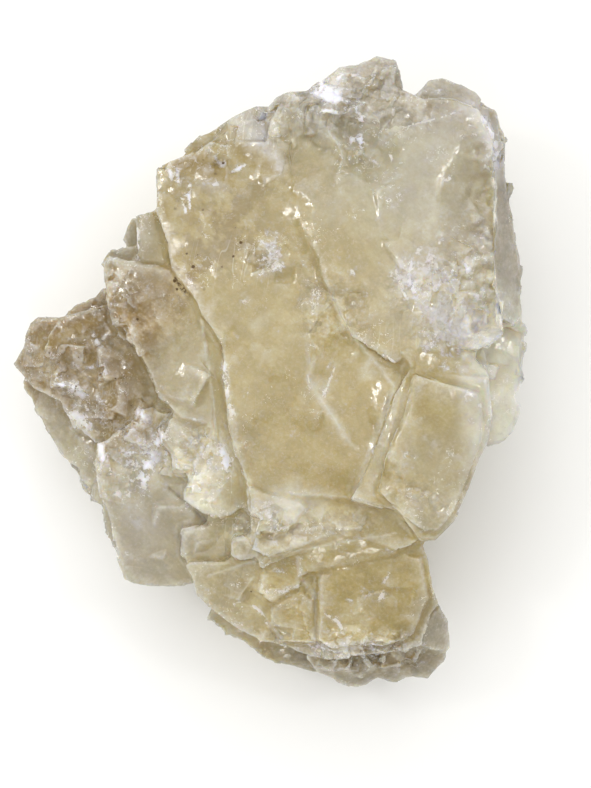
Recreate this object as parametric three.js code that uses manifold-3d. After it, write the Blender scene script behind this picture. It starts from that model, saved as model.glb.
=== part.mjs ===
// A hand-sized cluster of intergrown, honey-yellow calcite crystals, lying on its broken back.
// Millimetres, +Z up. The crystals are flat-faced slabs that grew into one another, so the whole
// cluster is one solid. Heights are above the surface that it lies on.
import * as THREE from "three";
import { mergeVertices } from "three/addons/utils/BufferGeometryUtils.js";
import Module from "manifold-3d";

const wasm = await Module();
wasm.setup();

// --- driving dimensions ---------------------------------------------------------------------
const EDGE_BEVEL = 0.5; // worn edge round each flat face
const CHIP_PITCH = 9; // distance between chips along a broken edge
const CHIP_DEPTH = 0.7; // how far a chip cuts into a broken edge
const LEAN = 0.08; // how far a slab narrows towards its foot, as a share of its width
const FOOT_STRIDE = 4; // outline points per flat side at a slab's foot
const ROUNDS = 5; // the broken-out blocks wind round the cluster this often
const SLIVER = 0.1; // thinner leftovers of the joining are merged away
const SEED = 2;

// Calcite cleaves into rhombohedra: these three edges meet at 78 or 102 degrees.
const CLEAVE_TURN = THREE.MathUtils.degToRad(-8);
const CLEAVE_EDGES = [
  new THREE.Vector3(1, 0, 0),
  new THREE.Vector3(0.206, 0.9785, 0),
  new THREE.Vector3(-0.206, 0.254, 0.945),
];

// --- repeatable chance ----------------------------------------------------------------------
let state = SEED;
function random() {
  state = (state + 0x6d2b79f5) | 0;
  let t = Math.imul(state ^ (state >>> 15), 1 | state);
  t = (t + Math.imul(t ^ (t >>> 7), 61 | t)) ^ t;
  return ((t ^ (t >>> 14)) >>> 0) / 4294967296;
}
const between = (low, high) => low + (high - low) * random();

// --- solids ---------------------------------------------------------------------------------
function solidOf(geometry) {
  const bare = geometry.clone();
  bare.deleteAttribute("normal");
  bare.deleteAttribute("uv");
  const merged = mergeVertices(bare, 1e-4);
  return new wasm.Manifold(
    new wasm.Mesh({
      numProp: 3,
      vertProperties: merged.attributes.position.array,
      triVerts: new Uint32Array(merged.index.array),
    }),
  );
}

function geometryOf(solid) {
  const mesh = solid.getMesh();
  const geometry = new THREE.BufferGeometry();
  geometry.setAttribute("position", new THREE.BufferAttribute(mesh.vertProperties, 3));
  geometry.setIndex(new THREE.BufferAttribute(mesh.triVerts, 1));
  return geometry;
}

// The outline with small bites taken out of its longer edges, as calcite breaks along its cleavage.
function chipped(outline, depth) {
  const points = outline.map(([x, y]) => new THREE.Vector2(x, y));
  const result = [];
  points.forEach((start, i) => {
    const along = points[(i + 1) % points.length].clone().sub(start);
    const inward = new THREE.Vector2(along.y, -along.x).normalize();
    const count = depth > 0 ? Math.floor(along.length() / CHIP_PITCH) : 0;
    result.push(start);
    for (let k = 1; k <= count; k++) {
      const at = (k + between(-0.3, 0.3)) / (count + 1);
      const bite = between(-0.25, 1) * depth;
      result.push(start.clone().addScaledVector(along, at).addScaledVector(inward, bite));
    }
  });
  return result;
}

// Where each point of an outline ends up at the foot of the crystal: on straight lines between
// every few points, so that the chips of the upper edge run out into broad flat sides.
function footOf(edge) {
  return edge.map((_, i) => {
    const from = i - (i % FOOT_STRIDE);
    const to = Math.min(from + FOOT_STRIDE, edge.length) % edge.length;
    const span = Math.min(FOOT_STRIDE, edge.length - from);
    return edge[from].clone().lerp(edge[to], (i - from) / span);
  });
}

// A flat-faced crystal: its outline seen from above (clockwise), the height of its face over the
// outline's middle, the slope of that face, how far down it reaches and how its sides draw in.
function slab(outline, { top, slope = [0, 0], foot, lean = LEAN, shift = [0, 0], chip = CHIP_DEPTH }) {
  const edge = chipped(outline, chip);
  const footEdge = footOf(edge);
  const middle = edge.reduce((sum, p) => sum.add(p), new THREE.Vector2()).divideScalar(edge.length);
  const height = top - foot;
  const geometry = new THREE.ExtrudeGeometry(new THREE.Shape(edge), {
    depth: height - 2 * EDGE_BEVEL,
    bevelThickness: EDGE_BEVEL,
    bevelSize: EDGE_BEVEL,
    bevelOffset: -EDGE_BEVEL,
    bevelSegments: 1,
    steps: 1,
  });
  geometry.translate(0, 0, EDGE_BEVEL);
  const place = geometry.attributes.position;
  for (let i = 0; i < place.count; i++) {
    const up = place.getZ(i) / height;
    const spot = new THREE.Vector2(place.getX(i), place.getY(i));
    const away = edge.map((p) => p.distanceTo(spot));
    const nearest = away.indexOf(Math.min(...away));
    spot.addScaledVector(footEdge[nearest].clone().sub(edge[nearest]), 1 - up).sub(middle);
    const { x, y } = spot;
    const draw = 1 - lean * (1 - up);
    place.setXYZ(
      i,
      middle.x + x * draw + shift[0] * (1 - up),
      middle.y + y * draw + shift[1] * (1 - up),
      foot + up * height + up * (slope[0] * x + slope[1] * y),
    );
  }
  return solidOf(geometry);
}

// A small cleavage rhombohedron with the given edge lengths about a point, turned a little.
function rhomb([x, y, z], [a, b, c], [tiltX, tiltY, turn]) {
  const pose = new THREE.Matrix4()
    .makeRotationFromEuler(new THREE.Euler(tiltX, tiltY, CLEAVE_TURN + turn))
    .setPosition(x, y, z);
  const geometry = new THREE.BoxGeometry(a, b, c)
    .applyMatrix4(new THREE.Matrix4().makeBasis(...CLEAVE_EDGES))
    .applyMatrix4(pose);
  return solidOf(geometry);
}
const astray = (most) => [between(-most, most), between(-most, most), between(-most, most)];

// A half space whose flat face goes through a point and looks along a direction.
function halfSpace(point, outward) {
  const box = new THREE.BoxGeometry(300, 300, 300);
  const turn = new THREE.Quaternion().setFromUnitVectors(new THREE.Vector3(1, 0, 0), outward.normalize());
  return solidOf(box.translate(150, 0, 0).applyQuaternion(turn).translate(point.x, point.y, point.z));
}

// --- the crystals ---------------------------------------------------------------------------
// the big central crystal and the plates that grew over its upper right
function centralCrystals() {
  return [
    slab(
      [[-27, 43.5], [-20.5, 46.5], [-13, 51], [-5.5, 53], [6.5, 55.5], [20, 50], [23.5, 18], [19, 2.5],
       [10.5, -20], [1, -19.5], [-8.5, -18], [-9.5, -16], [-13, -5], [-14, 9.5], [-18, 15.5],
       [-23.5, 24], [-27, 35]],
      { top: 41.5, slope: [0.04, -0.04], foot: 6 },
    ).subtract(halfSpace(new THREE.Vector3(0.9, 25.5, 42), new THREE.Vector3(-0.15, 0.1, 1))),
    slab(
      [[1, 55.5], [4.5, 58], [15.5, 60], [24.5, 56], [30, 56], [34.5, 54], [37.5, 49.5], [38, 36.5],
       [37.5, 27], [38.5, 17.5], [39.5, 11], [34.5, 8], [27, 9], [18.5, 5.5], [16, 7.5],
       [10.5, 10.5], [7.5, 17], [5, 22], [1, 31], [-1.5, 46]],
      { top: 43.3, slope: [0.06, -0.07], foot: 14 },
    ),
    slab(
      [[15, 38.5], [20.5, 40.5], [33, 50], [36, 46], [36.5, 29], [33, 21.5], [25.5, 20],
       [19.5, 23.5], [16, 29]],
      { top: 44, slope: [0, -0.09], foot: 30 },
    ),
    slab(
      [[33.5, 55.5], [38.5, 54.5], [40, 51], [40.5, 48], [41.5, 37.5], [43.5, 27], [44, 19],
       [44.5, 14], [40.5, 11.5], [35.5, 18], [33.5, 37.5]],
      { top: 35, slope: [-1.2, 0], foot: 12, chip: 0.3 },
    ),
  ];
}

// the thick slab at the right with the pale wing beneath it
function rightCrystals() {
  return [
    slab(
      [[40, 14], [45, 14], [45.5, 12.5], [44.5, 10.5], [44, 6.5], [45, 3.5], [43.5, 1], [42.5, -0.5],
       [43.5, -3], [42.5, -6.5], [42.5, -8.5], [40, -9.5], [37.5, -10], [30, -7], [30, 8.5]],
      { top: 29, slope: [-0.1, 0], foot: 16, chip: 0.3 },
    ),
    slab(
      [[21.5, 5], [36.5, 3.5], [37, -4], [36, -9.5], [34.5, -12.5], [32.5, -18], [30, -24],
       [26.5, -27.5], [23.5, -27.5], [19.5, -22], [15, -21], [10.5, -20], [18.5, 0]],
      { top: 45, slope: [-0.06, 0.02], foot: 15 },
    ),
    slab(
      [[22.5, 6], [20, -2], [15.5, -14], [12, -21], [8.5, -19], [16, 0], [18.5, 7]],
      { top: 42.4, slope: [-0.06, 0], foot: 18, lean: 0, chip: 0 },
    ),
    slab(
      [[22, 4], [29, 2], [34.5, 0.5], [35.5, -3.5], [35, -8.5], [34, -11.5], [32, -16.5], [30, -22],
       [27, -25.5], [24, -26], [19.5, -22.5], [15.3, -18.5], [17, -12], [20, -4]],
      { top: 46.4, slope: [-0.1, 0.03], foot: 34, chip: 0.3 },
    ),
    slab(
      [[22, 4.5], [19.5, 8], [24.5, 10], [29, 9.5], [33, 8.5], [36.5, 4], [37, -3], [33, 0], [30, 2]],
      { top: 44.6, slope: [-0.14, -0.12], foot: 25 },
    ),
    slab(
      [[22, 17.5], [25, 20], [32.5, 21.5], [38, 19.5], [39, 12], [36.5, 9], [31, 10], [25, 10.5],
       [21.5, 13]],
      { top: 45, slope: [-0.05, 0.05], foot: 25 },
    ),
  ];
}

// the narrow waist under the central crystal
function waistCrystals() {
  return [
    slab(
      [[-9, -18], [1, -19], [10.5, -19], [18, -20], [21.5, -22.5], [24.5, -27.5], [19, -29.5],
       [13, -27.5], [8.5, -27], [1, -30], [-6.5, -33], [-8, -27.5], [-8.5, -25]],
      { top: 42, slope: [0.03, 0.05], foot: 8 },
    ),
    slab(
      [[-8.5, -17.5], [1, -20], [2.5, -21.5], [-1, -25.5], [-7.5, -27.5]],
      { top: 43.6, slope: [-0.12, -0.08], foot: 30, chip: 0.2 },
    ),
    slab(
      [[-7.5, -27.5], [1, -25], [9.5, -23.5], [13.5, -25.5], [8.5, -26.2], [1, -29], [-6.5, -31.5]],
      { top: 42.6, slope: [0, -0.12], foot: 30, chip: 0.2 },
    ),
    slab(
      [[-12, -27.5], [-7.5, -26.5], [-7, -31], [-10.5, -31.5], [-12, -30.5]],
      { top: 40.8, slope: [0.1, 0], foot: 25, chip: 0 },
    ),
  ];
}

// the lower crystal and its dull tail
function lowerCrystals() {
  return [
    slab(
      [[-21.5, -32], [-7.5, -31.5], [1, -28.5], [8.5, -26], [13.5, -26], [20, -29], [24, -28],
       [25.5, -31.5], [26.5, -37.5], [27.5, -40], [25.5, -43], [24, -47.5], [20, -49.5], [17, -50],
       [6.5, -51], [2, -50], [-3, -48], [-9.5, -46], [-15.5, -42], [-19, -38.5], [-20, -35]],
      { top: 37.6, slope: [0.02, 0.15], foot: 10, lean: 0.15 },
    ),
    slab(
      [[0.5, -29], [8.5, -26.5], [13, -26.5], [20, -29.5], [18.5, -30.5], [9.5, -32.5], [2.5, -34],
       [0.5, -35]],
      { top: 40.8, slope: [0, 0.25], foot: 28, chip: 0.2 },
    ),
    slab(
      [[4.5, -34.5], [9.5, -32], [19, -30], [24, -31], [25.5, -39], [22.5, -46], [17, -48.5],
       [6.5, -48.5], [4, -47]],
      { top: 39, slope: [0, 0.1], foot: 25, chip: 0.4 },
    ),
    slab(
      [[-6.5, -34], [0.5, -31.5], [1.5, -36.5], [-4.5, -39.5], [-7, -37.5]],
      { top: 39.2, slope: [0, 0.1], foot: 25, chip: 0.2 },
    ),
    slab(
      [[-4.5, -40.5], [1.5, -37.5], [3.5, -39.5], [3.5, -47], [-2, -47], [-5, -44]],
      { top: 37.8, slope: [0, 0.12], foot: 25, chip: 0.2 },
    ),
    slab(
      [[26.5, -40], [28.5, -41], [30, -44], [30.5, -49], [31, -51], [29, -53.5], [27.5, -55],
       [26.5, -56.5], [22, -56], [21, -57], [18.5, -57], [16, -56], [14, -57.5], [12, -58],
       [8.5, -57], [7.5, -56], [4.5, -54.5], [1.5, -51], [7, -46], [20.5, -42]],
      { top: 25, slope: [-0.2, 0.75], foot: 8, lean: 0.2, chip: 0.3 },
    ),
    slab(
      [[23, -48.5], [24.5, -44], [28, -41], [30, -44], [30.5, -49], [30.5, -51]],
      { top: 29, slope: [-0.9, 0.5], foot: 12, chip: 0.2 },
    ),
    slab(
      [[-18, -46], [-15, -38], [2, -40], [5.5, -55.5], [5, -56.5], [3, -56], [-1.5, -54.5],
       [-6.5, -53.5], [-14, -51]],
      { top: 17, slope: [0, 0.2], foot: 6, lean: 0.2 },
    ),
  ];
}

// the left side, stepping down from the central crystal
function leftCrystals() {
  return [
    slab(
      [[-36, 26.5], [-29.5, 25], [-24, 24], [-19, 16], [-18, 14.5], [-16.5, 8.5], [-15.5, -1],
       [-15, -9], [-18, -8.5], [-22.5, -4], [-26, -1], [-28, 4], [-30.5, 9], [-34.5, 12], [-36, 17],
       [-37, 25]],
      { top: 37.5, slope: [0.14, 0.02], foot: 12, chip: 0.3 },
    ),
    slab(
      [[-18, 15.5], [-12, 12], [-10, -2], [-9, -18], [-14.5, -9], [-15.5, -1], [-16.5, 8.5]],
      { top: 38.5, foot: 20, chip: 0.2 },
    ),
    slab(
      [[-30.5, 34], [-27.5, 35], [-21, 34.5], [-20, 24], [-24.5, 23], [-30, 24.5]],
      { top: 36, slope: [0.05, 0], foot: 16, chip: 0 },
    ),
    slab(
      [[-33.5, 30], [-31.5, 34], [-28, 34.5], [-27, 24], [-32.5, 28.5]],
      { top: 31, slope: [0.5, 0], foot: 18, chip: 0 },
    ),
    slab(
      [[-37.5, 25], [-36, 27], [-32.5, 28.5], [-28, 28], [-25, 22], [-35, 20]],
      { top: 33.5, slope: [0.1, 0], foot: 12, chip: 0.2 },
    ),
    slab(
      [[-27, -5.5], [-22.5, -4], [-18.5, -8.5], [-14.5, -9], [-12.5, -13.5], [-9.5, -16.5],
       [-8, -18.5], [-9, -21], [-12, -23], [-15.5, -24], [-17.5, -23], [-21, -20.5], [-25, -18],
       [-23.5, -15.5], [-23.5, -11.5], [-26, -9]],
      { top: 37.5, slope: [0.12, 0.02], foot: 20, chip: 0.3 },
    ),
    slab(
      [[-22, -26], [-17, -25], [-15.5, -22], [-9.5, -19], [-6, -28], [-7, -33.5], [-12, -32.5],
       [-20.5, -33], [-22, -31]],
      { top: 35.5, slope: [0.12, 0], foot: 15, chip: 0.2 },
    ),
  ];
}

// the wing that reaches out furthest to the left, and the foot below it
function wingCrystals() {
  return [
    slab(
      [[-55.5, 6], [-53.5, 9.5], [-53, 12], [-52, 14], [-50.5, 15], [-46, 15], [-37.5, 17.5],
       [-33, 14], [-25, 12], [-20, 4], [-20, -6], [-26.5, -8], [-39, -10], [-43, -6.5], [-46, -1.5],
       [-52, 1.5]],
      { top: 29, slope: [0.2, 0.03], foot: 12, lean: 0.2 },
    ),
    slab(
      [[-50.5, 14.5], [-46.5, 16.5], [-42.5, 18.5], [-39, 19.5], [-38, 21], [-30, 20], [-34, 10],
       [-46.5, 10]],
      { top: 21, slope: [0.1, 0], foot: 11, chip: 0.3 },
    ),
    slab(
      [[-56.5, 6], [-48, 6], [-38, -2], [-33, -8], [-34, -20], [-38.5, -22.5], [-42, -21.5],
       [-42, -20], [-42.5, -17], [-45.5, -13.5], [-47, -12], [-51, -5], [-56.5, 4]],
      { top: 20, slope: [0.5, 0.15], foot: 8, lean: 0.2, chip: 0.3 },
    ),
    slab(
      [[-38.5, -9.5], [-32, -6], [-24, -6], [-20, -12], [-18, -17], [-16, -21], [-17.5, -25.5],
       [-18, -28], [-20, -33.5], [-19.5, -37], [-23.5, -37.5], [-28, -37.5], [-31.5, -37],
       [-33, -36], [-34.5, -31], [-37, -21.5], [-39, -14.5]],
      { top: 31.5, slope: [0.08, 0.06], foot: 9, lean: 0.15, chip: 0.4 },
    ),
    slab(
      [[-38.5, -22], [-28, -20], [-27, -34], [-33.5, -36.5], [-34, -34], [-35.5, -31.5],
       [-36.5, -29], [-38, -26.5]],
      { top: 24, slope: [0.6, 0], foot: 9, chip: 0.2 },
    ),
  ];
}

// lumps that fall away along the upper rim
function rimCrystals() {
  return [
    slab(
      [[4.5, 59], [8.5, 62.5], [12, 62.5], [15.5, 64.5], [19, 63.5], [20, 61], [21, 54], [15, 51],
       [9.5, 53], [4.5, 53]],
      { top: 40.5, slope: [0, -0.35], foot: 22, chip: 0.3 },
    ),
    slab(
      [[22, 56], [24, 58], [25.5, 60], [28, 60.5], [30.5, 59.5], [32, 59], [34.5, 57.5], [35.5, 56],
       [34, 50.5], [25.5, 50]],
      { top: 39, slope: [0, -0.45], foot: 19, chip: 0.3 },
    ),
    slab(
      [[-5.5, 55], [-3.5, 57], [-1, 58], [2, 58], [4.5, 60], [7, 55], [3, 49], [-5, 48.5]],
      { top: 38.5, slope: [0, -0.35], foot: 20, chip: 0.3 },
    ),
    slab(
      [[33, 55.5], [35.5, 56], [38.5, 54], [39.5, 50.5], [40.5, 48], [38, 44], [34, 46], [32, 52.5]],
      { top: 38, slope: [-0.7, -0.4], foot: 20, chip: 0.3 },
    ),
    slab(
      [[-13.5, 52.5], [-7.5, 55.5], [-4, 55.5], [-4, 49.5], [-11.5, 47.5]],
      { top: 36.5, slope: [0, -0.3], foot: 19, chip: 0.3 },
    ),
    slab(
      [[-21.5, 47], [-18.5, 50], [-16.5, 50.5], [-13, 53], [-9, 48], [-18.5, 43]],
      { top: 35.5, slope: [0.1, -0.3], foot: 17, chip: 0.3 },
    ),
  ];
}

// --- breaking ---------------------------------------------------------------------------------
// The side of a crystal group split off below a height: the split faces the given direction, starts
// where the group reaches furthest that way and leans inwards by the given angle as it goes down.
function splitOff(solid, [direction, height, lean]) {
  const angle = THREE.MathUtils.degToRad(direction);
  const flat = new THREE.Vector3(Math.cos(angle), Math.sin(angle), 0);
  const corners = geometryOf(solid).attributes.position;
  let reach = -Infinity;
  for (let i = 0; i < corners.count; i++) {
    reach = Math.max(reach, new THREE.Vector3().fromBufferAttribute(corners, i).dot(flat));
  }
  const touch = flat.clone().multiplyScalar(reach).setZ(height);
  return solid.subtract(halfSpace(touch, flat.setZ(-Math.tan(THREE.MathUtils.degToRad(lean)))));
}

// The height of the crystals' upper surface over a point, or nothing where they do not reach.
function surfaceAt(target, x, y) {
  const from = new THREE.Vector3(x, y, 90);
  const [hit] = new THREE.Raycaster(from, new THREE.Vector3(0, 0, -1)).intersectObject(target, false);
  return hit ? hit.point.z : -Infinity;
}

// Cleavage blocks broken out of the sides and left standing on them, never past the outline that
// shows from above.
function breakSides(solid, { middle, low, high, count }) {
  const target = new THREE.Mesh(geometryOf(solid), new THREE.MeshBasicMaterial());
  const gone = [];
  const left = [];
  for (let i = 0; i < count; i++) {
    const angle = ((i + random()) / count) * 2 * Math.PI * ROUNDS;
    const size = [between(5, 15), between(5, 15), between(3, 9)];
    const inward = new THREE.Vector3(-Math.cos(angle), -Math.sin(angle), 0);
    const aside = new THREE.Vector3(-inward.y, inward.x, 0);
    const start = new THREE.Vector3(...middle, between(low, high)).addScaledVector(inward, -120);
    const [hit] = new THREE.Raycaster(start, inward).intersectObject(target, false);
    if (!hit) continue;
    const cover = hit.point.z + size[2] / 2 + 4;
    const hidden = (out, off) => {
      const spot = hit.point.clone().addScaledVector(inward, -out).addScaledVector(aside, off);
      return surfaceAt(target, spot.x, spot.y) > cover;
    };
    if (hidden(4, 0) && hidden(3, size[1] / 2) && hidden(3, -size[1] / 2)) {
      const at = hit.point.clone().addScaledVector(inward, size[0] / 2 - between(1, 3));
      left.push(rhomb(at.toArray(), size, astray(0.15)));
    } else if (hidden(-0.5, 0) && hidden(-2, size[1] / 2) && hidden(-2, -size[1] / 2)) {
      const at = hit.point.clone().addScaledVector(inward, between(-2, 1));
      gone.push(rhomb(at.toArray(), size, astray(0.15)));
    }
  }
  return solid.subtract(wasm.Manifold.union(gone)).add(wasm.Manifold.union(left));
}

// Small cleavage blocks whose corners peep out of the faces, or that have fallen out of them.
function studFaces(solid, zones) {
  const target = new THREE.Mesh(geometryOf(solid), new THREE.MeshBasicMaterial());
  const gone = [];
  const left = [];
  for (const { at, reach, count, size, lift, tilt } of zones) {
    for (let i = 0; i < count; i++) {
      const [a, b, c] = [between(...size), between(...size), between(...size) * 0.8];
      const x = at[0] + between(-1, 1) * reach[0];
      const y = at[1] + between(-1, 1) * reach[1];
      const z = surfaceAt(target, x, y);
      const near = [[0.6, 0], [-0.6, 0], [0, 0.6], [0, -0.6], [0.4, 0.4], [-0.4, -0.4]].map(([u, v]) =>
        surfaceAt(target, x + u * a, y + v * b),
      );
      const up = between(...lift);
      if (z < 0 || Math.min(...near) < z - 2.5) continue;
      if (up > 0) left.push(rhomb([x, y, z + up - c * 0.48], [a, b, c], astray(tilt)));
      else gone.push(rhomb([x, y, z + up + c * 0.48], [a, b, c], astray(tilt)));
    }
  }
  return solid.subtract(wasm.Manifold.union(gone)).add(wasm.Manifold.union(left));
}

// --- the three groups of crystals -------------------------------------------------------------
const main = wasm.Manifold.union([
  ...centralCrystals(),
  ...rightCrystals(),
  ...rimCrystals(),
  slab(
    [[-24, 30], [-16, 42], [2, 50], [28, 48], [36, 30], [37, 6], [31, -16], [14, -22], [-6, -20],
     [-20, -8]],
    { top: 38, foot: 0, lean: 0.12, chip: 1.5 },
  ),
]);
const lower = wasm.Manifold.union([
  ...waistCrystals(),
  ...lowerCrystals(),
  slab(
    [[-14, -24], [12, -20], [22, -30], [23, -42], [8, -48], [-8, -44], [-17, -35]],
    { top: 34, foot: 2, lean: 0.2, chip: 1.5 },
  ),
]);
const left = wasm.Manifold.union([
  ...leftCrystals(),
  ...wingCrystals(),
  slab(
    [[-36, 8], [-24, 22], [-8, 14], [-6, -22], [-18, -32], [-31, -31], [-37, -14]],
    { top: 27, foot: 1, lean: 0.2, chip: 1.5 },
  ),
]);

// direction, height and lean of each split in degrees and millimetres
const MAIN_SPLITS = [[5, 20, 24], [38, 34, 32], [68, 26, 24], [92, 30, 38], [118, 33, 27],
  [140, 28, 40], [160, 24, 22], [-20, 28, 30]];
const LOWER_SPLITS = [[-35, 18, 30], [-62, 16, 42], [-95, 12, 30], [-128, 20, 38], [-10, 24, 24]];
const LEFT_SPLITS = [[180, 10, 42], [205, 12, 35], [228, 16, 28], [250, 20, 40], [152, 14, 34],
  [130, 26, 40]];

const split = wasm.Manifold.union([
  MAIN_SPLITS.reduce(splitOff, main),
  LOWER_SPLITS.reduce(splitOff, lower),
  LEFT_SPLITS.reduce(splitOff, left),
]);
const broken = breakSides(split, { middle: [-5, 3], low: 5, high: 32, count: 58 });
const cluster = studFaces(broken, [
  { at: [30, 20], reach: [10, 8], count: 14, size: [3, 7], lift: [-0.2, 0.5], tilt: 0.3 },
  { at: [24, 42], reach: [12, 12], count: 4, size: [5, 9], lift: [-0.4, 0.2], tilt: 0.2 },
  { at: [14, 56], reach: [22, 5], count: 12, size: [3, 6], lift: [-0.2, 0.8], tilt: 0.4 },
  { at: [-31, -8], reach: [12, 10], count: 12, size: [4, 9], lift: [-0.2, 0.8], tilt: 0.35 },
  { at: [-43, 6], reach: [9, 8], count: 9, size: [4, 9], lift: [-0.2, 0.8], tilt: 0.35 },
  { at: [-28, -28], reach: [8, 8], count: 6, size: [4, 8], lift: [-0.2, 0.4], tilt: 0.3 },
  { at: [-15, -24], reach: [7, 8], count: 9, size: [3, 6], lift: [0, 0.6], tilt: 0.3 },
  { at: [6, -42], reach: [18, 10], count: 8, size: [4, 9], lift: [-0.3, 0.4], tilt: 0.25 },
  { at: [19, -52], reach: [11, 4], count: 9, size: [3, 6], lift: [0, 0.8], tilt: 0.4 },
  { at: [-4, 25.5], reach: [3, 4], count: 4, size: [3, 5], lift: [-0.3, 0.1], tilt: 0.35 },
  { at: [2, 12], reach: [3, 22], count: 3, size: [3, 7], lift: [-0.3, 0.1], tilt: 0.25 },
]).simplify(SLIVER);

// --- the finished piece ---------------------------------------------------------------------
// Only the outer skin is kept, so nothing hollow is left where crystals close round a gap.
const skin = cluster.decompose().sort((a, b) => b.volume() - a.volume())[0];
const box = skin.boundingBox();
const resting = skin.translate([
  -(box.min[0] + box.max[0]) / 2,
  -(box.min[1] + box.max[1]) / 2,
  -box.min[2],
]);
const mesh = new THREE.Mesh(
  geometryOf(resting),
  new THREE.MeshStandardMaterial({ color: 0xc9bd8c, roughness: 0.3, metalness: 0 }),
);
mesh.name = "calcite_cluster";
const root = new THREE.Group();
root.add(mesh);
export default root;
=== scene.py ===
"""The looks of a hand-sized cluster of intergrown calcite crystals, as a Blender add-on.

The tables and the relief are in millimetres; properties and Blender's own lengths are in metres.
"""

import math

import bmesh
import bpy
import numpy as np
from bpy.props import FloatProperty, FloatVectorProperty, IntProperty, PointerProperty
from mathutils import Matrix, Vector


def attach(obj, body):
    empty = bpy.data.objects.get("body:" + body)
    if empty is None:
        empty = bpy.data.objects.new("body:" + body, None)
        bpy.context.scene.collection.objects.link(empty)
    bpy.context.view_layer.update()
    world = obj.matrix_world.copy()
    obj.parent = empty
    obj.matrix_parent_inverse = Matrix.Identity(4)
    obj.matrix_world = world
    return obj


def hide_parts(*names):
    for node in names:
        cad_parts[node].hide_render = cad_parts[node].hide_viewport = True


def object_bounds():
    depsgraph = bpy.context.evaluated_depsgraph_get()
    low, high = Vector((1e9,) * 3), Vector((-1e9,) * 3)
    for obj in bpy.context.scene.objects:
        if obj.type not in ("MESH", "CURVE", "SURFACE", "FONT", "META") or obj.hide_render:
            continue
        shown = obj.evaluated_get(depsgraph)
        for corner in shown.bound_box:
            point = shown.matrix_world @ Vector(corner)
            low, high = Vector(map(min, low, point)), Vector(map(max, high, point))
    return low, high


bl_info = {
    "name": "Calcite Cluster",
    "version": (1, 0, 0),
    "blender": (4, 5, 0),
    "location": "View3D > Sidebar > Calcite",
    "description": "Grows a calcite crystal cluster over its packed solid and sets a stage for it",
    "category": "Add Mesh",
}

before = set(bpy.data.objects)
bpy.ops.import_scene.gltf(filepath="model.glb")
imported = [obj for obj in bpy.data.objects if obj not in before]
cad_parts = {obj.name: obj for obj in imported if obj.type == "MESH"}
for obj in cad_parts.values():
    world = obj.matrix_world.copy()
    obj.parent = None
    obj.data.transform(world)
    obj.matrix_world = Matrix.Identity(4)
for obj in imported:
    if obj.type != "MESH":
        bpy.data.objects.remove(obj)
SOLID_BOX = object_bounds()
NODE = "calcite_cluster"
MM = 0.001
PER_MM = (1 / MM, 1 / MM, 1 / MM)

# --- fixed sizes ---

# A cleavage rhombohedron's three edges, and how far it is turned; all the small steps follow it.
CLEAVE_TURN = math.radians(-8)
CLEAVE_EDGES = Matrix(((1, 0.206, -0.206), (0, 0.9785, 0.254), (0, 0, 0.945)))
GRAIN_EDGES = np.array(Matrix.Rotation(CLEAVE_TURN, 3, "Z") @ CLEAVE_EDGES)

# Corners nearer than this are one; the voxels of the gap filling and of the ground that the blocks lie on.
SAME_CORNER = 1e-6
FILLING_VOXEL = 0.6 * MM
GROUND_VOXEL = 1.2 * MM
# How much lower than the solid the gap filling stays, in millimetres.
FILLING_SINK = 0.15
# The loose blocks' edges, how deep they sit and how far they lean off the shared grain, in radians.
BLOCKS = {
    "Smallest": (0.9 * MM, 0.9 * MM, 0.8 * MM),
    "Largest": (4.0 * MM, 4.0 * MM, 2.2 * MM),
    "Sink": 0.45 * MM,
    "Tilt": 0.28,
}

# Chips off the edges, in millimetres: how far the large ones reach, and the small ones.
CHIP_REACHES = ((1.0, 4.2), (0.6, 1.8))
# The share of chips that are cleavage notches where the crystal is broken up; the others are bevels.
NOTCH_SHARE = 0.7
# A chip's depth as a share of its reach, and how far a bevel leans.
NOTCH_DEPTHS = (0.10, 0.30)
BEVEL_DEPTHS = (0.06, 0.16)
BEVEL_LEAN = 0.22
# Plates along the cleavages: how many on each, and how far they reach, in millimetres.
BROAD_PLATES = (160, (1.5, 9.0))
FINE_PLATES = (420, (0.5, 2.6))
TONE_PLATES = (220, (2.0, 7.0))
# How far above and below its middle a plate still shows, in millimetres.
PLATE_DEPTH = 9
# Facets: their size in millimetres and how far they lean; the leans repeat after so many.
FINE_FACETS = (2.6, 0.28)
BROAD_FACETS = (8.0, 0.10)
FACET_LEANS = 4096
# How far the worn swells reach, and the cells of the grid that they are worked out on, in millimetres.
SWELL_REACH = 4
SWELL_CELL = 0.5

# How far a patch's and a colour zone's outline wanders, as a share of its reach.
PATCH_WANDER = 0.45
ZONE_WANDER = 0.35
# The share of the base colour between the zones.
BASE_SHARE = 0.05
# Tints that darken single plates and grains.
SHADED_PLATE = (0.72, 0.66, 0.52)
SHADED_GRAIN = (0.78, 0.70, 0.52)
# How light scatters inside: the farthest way, and the share of it for red, green and blue.
SCATTER_REACH = 4 * MM
SCATTER_SHARES = (1.0, 0.8, 0.4)

FLOOR_REACH = 3
FLOOR_LEVEL = -0.3 * MM
PAPER = (0.86, 0.86, 0.85, 1)
SKY = (1.0, 0.99, 0.97, 1)
LAMPS_AIM = Vector((0, 0, 0.02))
# The lamps: place, size, the property that gives the power, and the share of it.
LAMPS = (
    ("key light", (-0.10, 0.45, 0.80), 1.0, "key", 1),
    ("fill light", (-0.55, -0.45, 0.45), 0.6, "fill", 1),
    ("glint light left", (-0.40, 0.20, 0.75), 0.08, "glint", 1),
    ("glint light right", (0.35, 0.15, 0.75), 0.08, "glint", 1),
    ("glint light below", (0.05, -0.45, 0.70), 0.08, "glint", 0.5),
)

# --- where things are on the cluster, in millimetres of the part's own frame ---

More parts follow.
